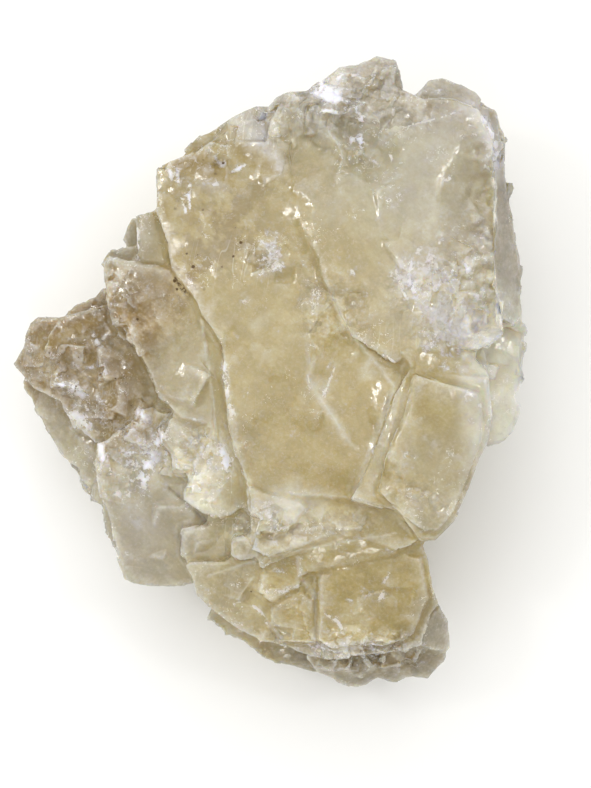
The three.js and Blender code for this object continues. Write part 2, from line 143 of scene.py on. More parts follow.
# How broken up the upper side is: middle, reach and strength of each loose patch.
LOOSE_PATCHES = (
    ("frosty shoulder", (33, 15), (13, 11), 0.7),
    ("shoulder edge", (40, 33), (4, 14), 0.25),
    ("upper rim", (14, 53), (22, 8), 0.7),
    ("upper left rim", (-14, 42), (12, 8), 0.35),
    ("veiled face", (-2, 42), (10, 9), 0.35),
    ("frost knot", (0, 23), (5, 5.5), 0.35),
    ("seam", (12, 12), (8, 10), 0.5),
    ("wing", (-38, 1), (15, 14), 0.4),
    ("left foot", (-27, -14), (14, 12), 0.5),
    ("left block edge", (-30, 14), (8, 10), 0.6),
    ("left lobe", (-13, -17), (8, 9), 0.7),
    ("waist", (3, -29), (16, 5), 0.6),
    ("lower crystal", (10, -42), (20, 11), 0.2),
    ("lower hem", (10, -50), (20, 3), 0.45),
    ("tail", (20, -54), (16, 6), 1),
    ("slab tip", (31, -24), (8, 6), 0.45),
)

# White frost inside the faces: middle, reach and strength.
FROST_PATCHES = (
    ("knot in the centre", (0.4, 23.2), (3.2, 4.2), 1.2),
    ("shoulder cloud", (29, 20), (7, 5.5), 1),
    ("shoulder streak", (35, 11), (11, 8), 1.1),
    ("slab spot", (39.8, -5.4), (1.8, 1.8), 0.9),
    # painted highlight: the rim patch is a facet's reflection of the light, painted as frost
    ("rim patch", (11.8, 53.6), (2.8, 2), 1.2),
    ("veil", (-1, 44), (6, 7), 0.1),
    ("wedge", (1.5, -24.5), (6, 3.6), 0.6),
    ("foot frost", (-25, -15), (8, 9), 0.6),
    ("wing frost", (-37, -5), (6, 6), 0.5),
    ("lobe", (-13, -14), (6, 8), 0.4),
    ("lower hem", (16, -51.5), (13, 1.6), 0.5),
    ("slab hem", (38, -4), (2.2, 8), 0.5),
    ("corner", (42.4, 44), (3.2, 6), 0.9),
    ("shoulder flecks", (25, 33), (4, 3), 0.45),
    ("lower shoulder flecks", (15, 20), (4, 4), 0.4),
    ("rim right", (33, 53), (8, 3), 0.3),
    ("lower specks", (18, -42), (8, 5), 0.15),
)

# Where the crystal is cloudier: middle, reach and strength.
CLOUDY_PATCHES = (
    ("right wing", (46, -4), (5, 13), 0.3),
    ("frosty shoulder", (37, 12), (9, 8), 0.3),
    ("shoulder plate", (34, 28), (9, 8), 0.1),
    ("left lobe", (-13, -18), (8, 10), 0.22),
    ("lower crystal", (-5, -41), (7, 6), 0.05),
)

# Brown stains in the pits: middle, reach and strength.
STAIN_PATCHES = (
    ("upper left corner", (-14, 40), (8, 3.6), 0.5),
    ("upper left field", (-10, 28), (13, 10), 0.5),
    ("row of specks", (-16.6, 18.6), (4.5, 4), 1),
    ("step under it", (-24, 11), (8, 5), 0.75),
    ("wing", (-36, 2), (12, 7), 0.65),
    ("foot edge", (-27, -8), (8, 4), 0.55),
    ("tail", (22, -55), (14, 4), 0.6),
    ("peak gap", (28, 52), (5, 3), 0.5),
    ("lower crystal", (-2, -41), (10, 5), 0.35),
    ("waist", (3, -30), (10, 2), 0.45),
)

# Marks drawn along a path: kind, half width, depth cut, strength and path. The white marks are mostly painted
# glints, where small facets catch the light, and a few are frosted bits.
MARK_KINDS = ("white", "pale", "grey", "milk", "ochre")
MARKS = (
    ("pale", 0.5, 0.05, 0.9, ((8.6, 3.7), (7.8, 1.8), (7.4, -0.1), (8, -2), (9.8, -4.2))),
    ("white", 0.26, 0.05, 0.6, ((7.3, 0.4), (7.6, -0.9), (8.3, -2))),
    ("pale", 0.9, 0.03, 0.9, ((8, -1.6), (9.4, -2.8), (10.9, -1.9))),
    ("white", 0.24, 0.05, 0.7, ((12.7, 2.3), (11.7, -0.1), (11.1, -1.8), (10.2, -3.9))),
    ("pale", 0.75, 0.06, 1.1, ((9.8, -4.2), (12, -7.2), (14.3, -11.2))),
    ("pale", 0.24, 0.03, 0.6, ((14.3, -11.2), (16.9, -13.9))),
    ("white", 0.3, 0.05, 0.7, ((22.2, 4.3), (23.5, 2.7))),
    ("white", 0.22, 0.05, 0.5, ((8.5, 16.8), (9.4, 16.4), (9.2, 13), (8.4, 10), (8.2, 13), (8.5, 16.8))),
    ("pale", 0.24, 0.04, 0.5, ((8.6, 10), (7, 6), (7.4, 2))),
    ("pale", 0.3, 0.05, 0.9, ((10.6, 18.4), (12.6, 13.4), (15.5, 8), (19.6, 3.4), (23.6, -1.8))),
    ("pale", 0.22, 0.03, 1, ((-12.9, 10.6), (-11.6, 2), (-10.4, -6), (-10.2, -11.6))),
    ("pale", 0.6, 0, 0.7, ((23.6, -2.6), (21.2, -8), (18.6, -15.6), (16, -22.6))),
    ("grey", 0.3, 0.05, 0.6, ((22.4, -4.4), (21.8, -6.2))),
    ("white", 0.7, 0.05, 0.6, ((25.3, -14.4), (27.3, -15.2))),
    ("white", 0.28, 0.05, 0.6, ((26.3, 47.4), (31, 48.6), (36.4, 50.3))),
    ("pale", 0.35, 0.05, 0.8, ((38.3, 48.6), (41.6, 44.8), (43, 39.3), (43.6, 33))),
    ("grey", 0.25, 0.12, 0.9, ((8.6, -40.4), (8.9, -46), (9, -51.8))),
    ("pale", 0.28, 0.05, 0.8, ((5.4, -34.2), (6.2, -38.4), (8.7, -41.4))),
    ("white", 0.3, 0.05, 0.8, ((1.6, -41.2), (3.6, -40.4), (6.4, -39.4))),
    ("white", 0.35, 0.05, 0.9, ((-3.2, -43.6), (-1.6, -45), (-0.3, -47.2))),
    ("white", 0.4, 0.05, 0.8, ((11, -45.2), (13, -46.4), (14.2, -48.6))),
    ("white", 0.4, 0.1, 0.7, ((22.9, -37.4), (21.9, -39.2))),
    ("white", 0.5, 0.1, 0.7, ((21.8, -41.2), (20.8, -42.4))),
    ("pale", 0.22, 0.06, 0.9, ((-11.8, -38), (0, -34), (12, -31.6), (24, -29.6))),
    ("grey", 0.28, 0.2, 0.9, ((4.3, -29.2), (5.9, -28))),
    ("grey", 0.4, 0.35, 0.9, ((-19.2, -21.4), (-15.6, -24.4), (-12.1, -28))),
    ("grey", 0.35, 0.25, 0.7, ((-20.6, -12), (-18.5, -14.8), (-18.4, -18.6))),
    ("pale", 0.25, 0.05, 0.8, ((-7, -30), (-2.4, -30.4), (-2.4, -34.2), (-6.8, -34), (-7, -30))),
    ("pale", 0.3, 0.05, 0.6, ((20.2, 35.4), (25.3, 38.2))),
    ("white", 0.4, 0.05, 0.7, ((-8.4, 1.6), (-8.2, -2.4))),
    ("white", 0.4, 0.05, 0.7, ((-7.2, -4.8), (-6.6, -6))),
    ("white", 0.36, 0.05, 0.8, ((-25.1, 28), (-25.3, 22.6))),
    ("white", 0.26, 0.05, 1.2, ((-19.1, 39.6), (-18.6, 37.6))),
    ("white", 0.26, 0.05, 1.2, ((-17.6, 39.8), (-17.3, 36.8))),
    ("white", 0.3, 0.05, 1.2, ((-15.2, 36.7), (-15.3, 34.6), (-15, 31.3))),
    ("white", 0.28, 0.05, 1.2, ((-17.3, 34.1), (-16.3, 33.6), (-15.8, 31.4))),
    ("white", 0.32, 0.05, 1.2, ((-6.9, 39.2), (-4.5, 40.3))),
    ("white", 0.28, 0.05, 1, ((-10.6, 36.6), (-9.6, 37))),
    ("ochre", 0.8, 0.25, 0.5, ((3.8, 34.8), (5.4, 33.8), (7.4, 32))),
    ("white", 0.3, 0.05, 0.8, ((-10.6, 42.2), (-9, 40.4), (-8.2, 40.9))),
    # painted highlight: the bright facet on the upper rim
    ("white", 1.3, 0.05, 2, ((9.8, 54.6), (12.2, 53.2))),
    ("white", 0.28, 0.05, 1.2, ((9.6, 49.9), (11.2, 50.3), (12.8, 49.9))),
    ("white", 0.28, 0.05, 1.2, ((12.9, 56.8), (16.4, 57.3))),
    ("white", 0.9, 0.05, 1.2, ((16.6, 49.9), (17.6, 49))),
    ("white", 0.6, 0.05, 1.2, ((15.8, 45.2), (17.4, 45.7), (17.8, 44))),
    ("white", 0.24, 0.05, 0.9, ((23, 42), (23.3, 41))),
    ("white", 0.24, 0.05, 0.8, ((19.6, 41.6), (20.8, 40.2))),
    ("white", 0.3, 0.05, 0.9, ((26.9, 21.6), (26.3, 18.8), (27.3, 15.8))),
    ("white", 0.3, 0.05, 0.8, ((23.9, 20.2), (24.8, 17), (26, 14.4))),
    ("white", 0.36, 0.05, 1.1, ((36.9, 21.6), (38.2, 18.6))),
    ("white", 0.34, 0.05, 1.1, ((39.4, 15.6), (41.2, 13.8), (41.8, 12))),
    ("white", 0.3, 0.05, 0.9, ((32.4, 37.4), (34, 37), (34.4, 38))),
    ("white", 0.34, 0.05, 0.9, ((41, 40.4), (42.1, 39.2))),
    ("white", 0.9, 0, 1, ((41, 49), (42.8, 45.4), (43.4, 40.6))),
    ("white", 0.34, 0.05, 0.9, ((-34.4, 8.4), (-33.3, 6.4))),
    ("white", 0.34, 0.05, 0.9, ((-38.2, 2.6), (-37, 1.2), (-33.6, 2.2))),
    ("white", 0.34, 0.05, 0.9, ((-32.6, 3.8), (-31.8, 0.6))),
    ("white", 0.8, 0.05, 0.9, ((-41.4, -1), (-38.4, -2.2), (-36.4, -3.4))),
    ("white", 1.1, 0.05, 0.8, ((-38.4, -6.6), (-35.2, -9.4))),
    ("white", 0.6, 0.05, 1.2, ((-32.6, -13.2), (-32.2, -16))),
    ("white", 0.36, 0.05, 1, ((-31, -18.2), (-30.2, -18.8))),
    ("white", 1.2, 0.05, 0.9, ((-21, -11.4), (-22.8, -14.6), (-24.4, -20.4))),
    ("white", 0.9, 0.05, 0.8, ((-25.4, -6.8), (-23.4, -8.2))),
    ("white", 0.4, 0.05, 0.9, ((-19.6, -14.4), (-20.6, -17.2))),
    ("white", 0.36, 0.05, 0.9, ((-7.6, -0.4), (-7.9, -3.4))),
    ("pale", 1.5, 0, 0.5, ((25.2, -3.8), (21.4, -13), (17.6, -23.4))),
    ("white", 0.6, 0.08, 0.4, ((29, -11), (32, -13.2), (35.6, -15.2))),
    ("milk", 3.2, 0, 1, ((-3.6, 48), (-1.4, 45))),
    ("milk", 1.6, 0, 0.9, ((-1, 44), (2.2, 40))),
    ("milk", 1.1, 0, 0.5, ((-13.6, 38.2), (-9.6, 34.6))),
    ("milk", 1.3, 0, 0.5, ((24.6, 22.6), (26.6, 16))),
    ("milk", 1.6, 0, 0.6, ((31.4, 11.4), (35, 8.4))),
    ("milk", 2.2, 0, 0.5, ((-27, -26), (-22, -30))),
    ("white", 0.6, 0, 0.8, ((-30, -22), (-27.6, -23.6))),
    ("white", 0.45, 0, 0.8, ((-26, -27), (-24.8, -28.6))),
    ("white", 0.9, 0, 1, ((-9.4, -13.4), (-7.6, -17))),
    ("white", 0.6, 0, 0.8, ((-8.6, 2), (-8, -2))),
    ("white", 0.55, 0, 0.8, ((-7.2, -5.2), (-6.6, -8.2))),
    ("white", 0.28, 0, 0.9, ((4.3, -5.2), (5.5, -6))),
    ("white", 0.45, 0, 0.9, ((-4.9, 15.2), (-4, 14.2))),
    ("pale", 0.4, 0, 0.5, ((-2.6, 11.8), (-2.2, 7), (-2.6, 3.4))),
    ("pale", 0.5, 0, 0.6, ((17.3, 1.6), (19, 2.4), (19.8, 0.8), (18.2, -0.2))),
    ("milk", 1.6, 0, 1, ((37.6, 51.8), (40.8, 48.4), (43, 43.6), (43.8, 38))),
    # milky base under the painted highlight on the upper rim
    ("milk", 1.3, 0, 1, ((9.8, 54.6), (12.2, 53))),
    ("ochre", 2.2, 0, 1.1, ((-17, 41.2), (-13.6, 40.6), (-10.2, 39.6))),
    ("ochre", 1.8, 0, 0.9, ((-6.4, 43.8), (-3.4, 41.4), (0.4, 39.4))),
    ("ochre", 0.8, 0, 0.8, ((-8.6, 38), (-4.6, 35.2))),
    ("ochre", 0.9, 0, 0.8, ((-19.8, 33.4), (-19.2, 27), (-18.2, 19.6))),
    ("ochre", 1.2, 0, 0.5, ((-16, 31.2), (-12.4, 29.6))),
    ("ochre", 1.2, 0, 0.6, ((-16.4, 24), (-15, 18.6), (-11.8, 12.4))),
    ("ochre", 0.8, 0, 0.7, ((-44.8, 3.2), (-40, 8.8), (-33, 11.6))),
    ("ochre", 1.3, 0, 0.6, ((-37, -0.6), (-32, -3.4), (-27.6, -7.6))),
)

# Where old steps are worn to soft swells: middle, reach and strength.
SOFT_PATCHES = (
    ("shoulder plate", (30, 37), (20, 16), 1),
    ("middle plate", (20, 28), (9, 9), 0.8),
    ("its left edge", (6, 38), (6.5, 17), 1),
    ("heart", (3, 4), (12, 20), 0.7),
    ("frosty shoulder", (33, 13), (14, 11), 1),
    ("slab edge above", (22.5, -6), (4.5, 8), 0.6),
    ("slab edge below", (18.5, -16), (4.5, 8), 0.6),
    ("veiled corner", (-3, 42), (9, 6), 0.6),
)

# The colour zones of the upper side: palette colour, middle, reach and strength. The grey zones of the shaded
# rims, on the top rim, the tail and the left step, are painted shade.
COLOUR_ZONES = (
    ("honey", (2, 8), (22, 30), 1),
    ("deep honey", (11.5, -13), (13, 17), 0.9),
    ("straw", (-10, 31), (14, 13), 1.6),
    ("cream", (-10, 24), (6, 5), 0.5),
    ("straw", (8, 39), (6, 6), 0.7),
    ("sage", (24, 39), (17, 15), 0.9),
    ("lilac", (26, 36), (7, 8), 0.4),
    ("cream", (37, 38), (6, 8), 1.6),
    ("lilac", (38, 29), (7, 12), 0.9),
    ("cream", (32, 16), (12, 8), 0.8),
    ("honey", (30, -10), (8, 13), 0.8),
    ("cream", (33, -25), (7, 4.5), 0.6),
    ("pale", (44.5, -1), (6.5, 17), 3.5),
    ("lilac", (46.5, 30), (3.6, 22), 0.9),
    ("clay", (-23, 15), (8, 7), 1.6),
    ("cream", (-17, 1), (6, 10), 0.9),
    ("smoke", (-24.5, 26), (5, 4.5), 0.8),
    ("ochre", (-33, -2), (11, 8), 0.6),
    ("clay", (-36, 3), (13, 11), 1.4),
    ("cream", (-42, -10), (7, 10), 0.8),
    ("clay", (-29, -8), (7, 6), 1),
    ("lilac", (-23, -31), (8, 9), 1.2),
    ("cream", (-22, -36), (8, 6), 0.5),
    ("cream", (-24, -24), (10, 12), 0.9),
    ("cream", (-12, -12), (7, 8), 0.8),
    ("pale", (-14, -20), (6, 6), 0.6),
    ("cream", (5, -28), (13, 4), 0.7),
    ("pale", (5, -24), (6, 3.5), 1.4),
    ("cream", (31, -16), (7, 7), 0.8),
    ("honey", (-6, -40), (8, 8), 0.7),
    ("cream", (-8, -40), (8, 8), 0.6),
    ("deep honey", (3, -41), (6, 6), 1.2),
    ("deep honey", (18, -41), (12, 8), 1.4),
    ("honey", (22, -34), (8, 4), 1),
    ("smoke", (22, -56), (15, 4), 0.9),
    ("smoke", (32, -48), (3.4, 7), 0.7),
    ("lilac", (15, 54), (19, 8), 1.1),
    ("smoke", (17, 51), (14, 6), 1.1),
    ("lilac", (36, 50), (10, 8), 0.9),
)


# --- properties ---
def colour_property(name, description, default):
    return FloatVectorProperty(
        name=name, description=description, subtype="COLOR", size=3, default=default, min=0, max=1,
    )


class CalciteForm(bpy.types.PropertyGroup):
    grain: FloatProperty(
        name="Grain", description="Size of the voxels that the surface is rebuilt from",
        default=0.33 * MM, min=0.2 * MM, soft_max=2 * MM, unit="LENGTH", precision=5,
    )
    step: FloatProperty(
        name="Step", description="Height of the tallest cleavage step on a face",
        default=0.42 * MM, min=0, soft_max=2 * MM, unit="LENGTH", precision=5,
    )
    gap: FloatProperty(
        name="Gap", description="Narrower gaps between the crystals are grown shut",
        default=2.0 * MM, min=0, soft_max=4 * MM, unit="LENGTH", precision=5,
    )
    chips: IntProperty(
        name="Chips", description="Large chips, and as many small ones, off the edges", default=500, min=0,
    )
    blocks: FloatProperty(
        name="Loose blocks",
        description="Small cleavage blocks per square metre where the faces are broken up",
        default=14000, min=0, soft_max=500000,
    )
    triangles: IntProperty(
        name="Triangles", description="Most triangles that the finished surface keeps",
        default=195000, min=20000, soft_max=200000,
    )
    crease: FloatProperty(
        name="Crease", description="Least angle between two faces whose edge stays sharp",
        default=math.radians(20), min=0, max=math.pi, subtype="ANGLE",
    )
    seed: IntProperty(name="Seed", description="Start of the repeatable chance", default=5, min=0)


class CalciteFinish(bpy.types.PropertyGroup):
    honey: colour_property("Honey", "Colour of the clear crystal heart", (0.62, 0.525, 0.25))
    # Deep honey also paints the shade in the hollows.
    deep_honey: colour_property("Deep honey", "Colour where the crystal is thickest", (0.6, 0.49, 0.2))
    straw: colour_property("Straw", "Colour of the stained yellow faces", (0.53, 0.43, 0.17))
    sage: colour_property("Sage", "Colour of the greenish grey shoulder", (0.69, 0.66, 0.5))
    cream: colour_property("Cream", "Colour of the cloudy crystal", (0.68, 0.63, 0.46))
    # Pale also paints the light on the broad convex rims.
    pale: colour_property("Pale", "Colour of the thin bright ledges", (0.95, 0.94, 0.83))
    clay: colour_property("Clay", "Colour of the brownish left side", (0.38, 0.26, 0.095))
    # Painted shade: the grey of the rims that are shaded because they face away from the light.
    smoke: colour_property("Smoke", "Colour of the shaded grey rims", (0.48, 0.44, 0.34))
    lilac: colour_property("Lilac", "Colour of the greyish rims and veils", (0.6, 0.56, 0.49))
    frost: colour_property("Frost", "Colour of crushed white calcite", (0.68, 0.66, 0.64))
    # The glint colour paints highlights: glints on the flakes, flecks and marks, and on the edges, which are
    # partly real bared edges.
    glint: colour_property("Glint", "Colour of the bright flakes and bared edges", (0.74, 0.74, 0.79))
    stain: colour_property("Stain", "Colour of the ochre stains", (0.26, 0.17, 0.05))
    ochre: colour_property("Ochre", "Colour of the broad ochre bands", (0.2, 0.14, 0.045))
    milk: colour_property("Milk", "Colour of the smooth milky veils", (0.55, 0.535, 0.52))
    dirt: colour_property("Dirt", "Colour of the dark specks and the dirt in the pits", (0.08, 0.045, 0.015))
    slate: colour_property("Slate", "Colour of the dark cleavage seams", (0.45, 0.42, 0.38))
    clearness: FloatProperty(
        name="Clearness", description="Share of the light that goes through the clear crystal's surface",
        default=0.92, min=0, max=1.0, subtype="FACTOR",
    )
    cloudiness: FloatProperty(
        name="Cloudiness", description="How much of the crystal is cloudy where it is clearest",
        default=0.32, min=0, max=1.0, subtype="FACTOR",
    )
    ior: FloatProperty(
        name="Refraction", description="Index of refraction of calcite", default=1.58, min=1, max=2,
    )
    depth_colour: colour_property(
        "Depth colour", "Colour that light takes on inside the crystal", (0.93, 0.84, 0.56),
    )
    depth_density: FloatProperty(
        name="Depth density", description="How fast light takes on that colour",
        default=28, min=0, soft_max=300,
    )


class CalciteStage(bpy.types.PropertyGroup):
    axis: FloatVectorProperty(
        name="View axis", description="Where the camera's axis meets the part, seen from above",
        subtype="XYZ", size=2, unit="LENGTH", default=(5.06 * MM, -3.26 * MM), precision=5,
    )
    height: FloatProperty(
        name="Camera height", description="Height of the camera over the surface that the part lies on",
        default=497 * MM, min=0.1, soft_max=2, unit="LENGTH",
    )
    lens: FloatProperty(
        name="Lens", description="Focal length", default=110, min=20, soft_max=300, unit="CAMERA",
    )
    key: FloatProperty(
        name="Key light", description="Power of the large soft light", default=4.9, min=0, unit="POWER",
    )
    fill: FloatProperty(
        name="Fill light", description="Power of the light from the lower left",
        default=1.5, min=0, unit="POWER",
    )
    glint: FloatProperty(
        name="Glint lights", description="Power of each small bright light",
        default=0.45, min=0, unit="POWER",
    )
    sky: FloatProperty(
        name="Sky", description="Strength of the even light all round", default=0.75, min=0, soft_max=3,
    )


# --- chance and noise ---
def smooth(edge_low, edge_high, value):
    """0 below the low edge, 1 above the high one, and an even curve between them."""
    t = np.clip((value - edge_low) / (edge_high - edge_low), 0, 1)
    return t * t * (3 - 2 * t)


class Grain:
    """Repeatable smooth noise in space, from -1 to 1."""

    def __init__(self, seed):
        self.table = np.random.default_rng(seed).uniform(-1, 1, (32, 32, 32))

    def at(self, places, size_mm):
        scaled = places / size_mm
        cell = np.floor(scaled).astype(int)
        t = scaled - cell
        t = t * t * (3 - 2 * t)
        total = np.zeros(len(places))
        for corner in np.ndindex(2, 2, 2):
            weight = np.prod(np.where(corner, t, 1 - t), axis=1)
            i, j, k = ((cell + corner) % 32).T
            total += weight * self.table[i, j, k]
        return total

    def rough(self, places, size_mm, octaves=4):
        return sum(self.at(places + 7.3 * k, size_mm / 2**k) / 2**k for k in range(octaves)) / 1.6


def patch_mask(places, patches, wobble, grain):
    """The strongest of several soft-edged patches at each place, seen from above."""
    shift = np.stack([grain.rough(places, wobble), grain.rough(places + 31, wobble)], axis=1)
    total = np.zeros(len(places))
    for _name, (x, y), (reach_x, reach_y), strength in patches:
        away = ((places[:, :2] - (x, y)) / (reach_x, reach_y) + PATCH_WANDER * shift) ** 2
        total = np.maximum(total, strength * smooth(1.25, 0.25, np.sqrt(away.sum(axis=1))))
    return total


def stroke(places, path, half_width):
    """1 on a path and less away from it, seen from above."""
    nearest = np.full(len(places), 1e9)
    for start, end in zip(path[:-1], path[1:]):
        start, end = np.array(start), np.array(end)
        along = end - start
        t = np.clip((places[:, :2] - start) @ along / (along @ along), 0, 1)
        nearest = np.minimum(nearest, np.linalg.norm(places[:, :2] - start - t[:, None] * along, axis=1))
    return np.exp(-((nearest / half_width) ** 2))


# --- meshes ---
def read(items, name, width, kind=float):
    """A row of numbers for each of a mesh's items."""
    flat = np.empty(len(items) * width, dtype=kind)
    items.foreach_get(name, flat)
    return flat.reshape(-1, width)


def places_mm(mesh):
    return read(mesh.vertices, "co", 3) / MM


def set_places(mesh, places):
    """Moves a mesh's points to places in millimetres."""
    mesh.vertices.foreach_set("co", (places * MM).ravel())
    mesh.update()


def normals_of(mesh):
    return read(mesh.vertex_normals, "vector", 3)


def edges_of(mesh):
    return read(mesh.edges, "vertices", 2, int)


def store(mesh, name, values):
    """Keeps a number, or a colour as a row of three, for each of a mesh's points."""
    kind, field = "FLOAT", "value"
    if values.ndim == 2:
        kind, field = "FLOAT_COLOR", "color"
        values = np.concatenate([values, np.ones((len(values), 1))], axis=1)
    layer = mesh.attributes.new(name, kind, "POINT")
    layer.data.foreach_set(field, np.ascontiguousarray(values, dtype=np.float32).ravel())


def spread(values, edges, rounds):
    """Values averaged with their neighbours along the edges, a number of times."""
    size = len(values)
    count = np.maximum(np.bincount(edges.ravel(), minlength=size), 1)
    flat = values.reshape(size, -1)
    for _ in range(rounds):
        total = np.empty_like(flat)
        for k in range(flat.shape[1]):
            total[:, k] = np.bincount(edges[:, 0], flat[edges[:, 1], k], size)
            total[:, k] += np.bincount(edges[:, 1], flat[edges[:, 0], k], size)
        flat = 0.5 * flat + 0.5 * total / count[:, None]
    return flat.reshape(values.shape)


def new_object(name, data):
    piece = bpy.data.objects.new(name, data)
    bpy.context.scene.collection.objects.link(piece)
    return piece


def applied(piece):
    """The piece's mesh with its modifiers worked in; the modifiers are taken off."""
    graph = bpy.context.evaluated_depsgraph_get()
    mesh = bpy.data.meshes.new_from_object(piece.evaluated_get(graph), depsgraph=graph)
    piece.modifiers.clear()
    old, piece.data = piece.data, mesh
    bpy.data.meshes.remove(old)
    return piece


def rebuilt(piece, voxel):
    remesh = piece.modifiers.new("Rebuild", "REMESH")
    remesh.mode = "VOXEL"
    remesh.voxel_size = voxel
    return applied(piece)


def merged_copy(node, name):
    """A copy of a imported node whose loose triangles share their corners."""
    copy = new_object(name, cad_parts[node].data.copy())
    copy.data.materials.clear()
    weld = copy.modifiers.new("Weld", "WELD")
    weld.merge_threshold = SAME_CORNER
    return applied(copy)


# --- nodes ---
class Value:
    """A node's socket that Python arithmetic can be used on; each sign adds its Math node."""

    def __init__(self, nodes, socket):
        self.nodes, self.socket = nodes, socket

    def _with(self, operation, *values):
        return self.nodes.value("ShaderNodeMath", {"operation": operation}, *values)

    def __add__(self, other):
        return self._with("ADD", self, other)

    def __radd__(self, other):
        return self._with("ADD", other, self)

    def __sub__(self, other):
        return self._with("SUBTRACT", self, other)

    def __rsub__(self, other):
        return self._with("SUBTRACT", other, self)

    def __mul__(self, other):
        return self._with("MULTIPLY", self, other)

    def __rmul__(self, other):
        return self._with("MULTIPLY", other, self)

    def clamp(self):
        return self._with("MINIMUM", self._with("MAXIMUM", self, 0), 1)

    def most(self, other):
        return self._with("MAXIMUM", self, other)

    def line(self, level, width):
        """1 where the value passes a level, 0 further from it than the width."""
        return self._with("ABSOLUTE", self - level).rise(width, 0.3 * width)

    def rise(self, low, high):
        """0 at the low value, 1 at the high one, even between them."""
        smoothstep = {"interpolation_type": "SMOOTHSTEP"}
        return self.nodes.value("ShaderNodeMapRange", smoothstep, self, low, high, 0.0, 1.0)


class Nodes:
    """Adds nodes to a material's or a modifier's tree."""

    def __init__(self, tree):
        self.tree = tree

    def plug(self, socket, value):
        """Links a value to a socket, or sets the socket to it."""
        value = value.socket if isinstance(value, Value) else value
        if isinstance(value, bpy.types.NodeSocket):
            self.tree.links.new(value, socket)
        else:
            socket.default_value = value

    def node(self, kind, settings=(), *values, **named):
        """A node with its settings, and its inputs in order or by name, with _ for each space."""
        made = self.tree.nodes.new(kind)
        for key, value in dict(settings).items():
            setattr(made, key, value)
        for key, value in [*enumerate(values), *named.items()]:
            self.plug(made.inputs[key if isinstance(key, int) else key.replace("_", " ")], value)
        return made

    def value(self, kind, settings=(), *values, out=0, **named):
        return Value(self, self.node(kind, settings, *values, **named).outputs[out])

    def vector(self, operation, *values, out=0, **named):
        return self.value("ShaderNodeVectorMath", {"operation": operation}, *values, out=out, **named)

    def attribute(self, name, out="Fac"):
        return self.value("ShaderNodeAttribute", {"attribute_name": name}, out=out)

    def mix(self, factor, first, second, blend="MIX"):
        made = self.node("ShaderNodeMix", {"data_type": "RGBA", "blend_type": blend})
        for index, value in ((0, factor), (6, first), (7, second)):
            self.plug(made.inputs[index], value)
        return Value(self, made.outputs[2])


def block_scatter_tree():
    """Small cleavage blocks scattered over a surface, all turned with the crystal's own grain."""
    tree = bpy.data.node_groups.new("Loose cleavage blocks", "GeometryNodeTree")
    for name, kind in (
        ("Surface", "Geometry"), ("Density", "Float"), ("Smallest", "Vector"), ("Largest", "Vector"),
        ("Sink", "Float"), ("Tilt", "Float"), ("Seed", "Int"), ("Material", "Material"),
    ):
        tree.interface.new_socket(name, in_out="INPUT", socket_type="NodeSocket" + kind)
    tree.interface.new_socket("Blocks", in_out="OUTPUT", socket_type="NodeSocketGeometry")
    g = Nodes(tree)
    given = {socket.name: Value(g, socket) for socket in g.node("NodeGroupInput").outputs}
    loose = g.value("GeometryNodeInputNamedAttribute", {"data_type": "FLOAT"}, Name="loose", out="Attribute")
    spots = g.node(
        "GeometryNodeDistributePointsOnFaces", {"distribute_method": "RANDOM"},
        Mesh=given["Surface"], Density=given["Density"] * loose, Seed=given["Seed"],
    ).outputs
    inward = g.vector("SCALE", spots["Normal"], Scale=given["Sink"] * -1.0)
    roots = g.value("GeometryNodeSetPosition", Geometry=spots["Points"], Offset=inward)
    # a unit cube sheared into a cleavage block
    cube = g.value("GeometryNodeMeshCube", Size=(1, 1, 1))
    corner = g.value("GeometryNodeInputPosition")
    sheared = [g.vector("DOT_PRODUCT", corner, tuple(row), out="Value") for row in CLEAVE_EDGES]
    block = g.value(
        "GeometryNodeSetPosition", Geometry=cube, Position=g.value("ShaderNodeCombineXYZ", (), *sheared),
    )
    # every block leans a little off the shared grain
    tilts = (given["Tilt"] * -1.0, given["Tilt"])
    low, high = (g.value("ShaderNodeCombineXYZ", (), tilt, tilt, tilt) for tilt in tilts)
    any_vector = {"data_type": "FLOAT_VECTOR"}
    off_grain = g.value("FunctionNodeRandomValue", any_vector, low, high, Seed=given["Seed"])
    lean = g.value("FunctionNodeEulerToRotation", (), g.vector("ADD", off_grain, (0, 0, CLEAVE_TURN)))
    size = g.value(
        "FunctionNodeRandomValue", any_vector, given["Smallest"], given["Largest"], Seed=given["Seed"] + 1.0,
    )
    placed = g.value("GeometryNodeInstanceOnPoints", Points=roots, Instance=block, Rotation=lean, Scale=size)
    real = g.value("GeometryNodeRealizeInstances", Geometry=placed)
    dressed = g.value("GeometryNodeSetMaterial", Geometry=real, Material=given["Material"])
    g.node("NodeGroupOutput", Blocks=dressed)
    return tree


def add_scatter(piece, tree, values):
    scatter = piece.modifiers.new("Loose blocks", "NODES")
    scatter.node_group = tree
    for item in tree.interface.items_tree:
        if item.name in values:
            scatter[item.identifier] = values[item.name]
    return applied(piece)


# --- relief ---
def cleavage_normals():
    """The three cleavage directions and their opposites, as rows."""
    edges = GRAIN_EDGES.T
    rows = np.array([np.cross(edges[i], edges[j]) for i, j in ((0, 1), (0, 2), (1, 2))])
    rows /= np.linalg.norm(rows, axis=1, keepdims=True)
    return np.concatenate([rows, -rows])


def looseness(places, facing, grain):
    """How broken up the surface is: set patches above, and the sides and back nearly everywhere."""
    above = patch_mask(places, LOOSE_PATCHES, 9, grain)
    side = smooth(0.75, 0.35, facing[:, 2]) * (0.55 + 0.35 * grain.rough(places, 14))
    return np.clip(np.maximum(above * smooth(0.2, 0.6, facing[:, 2]), side), 0, 1)


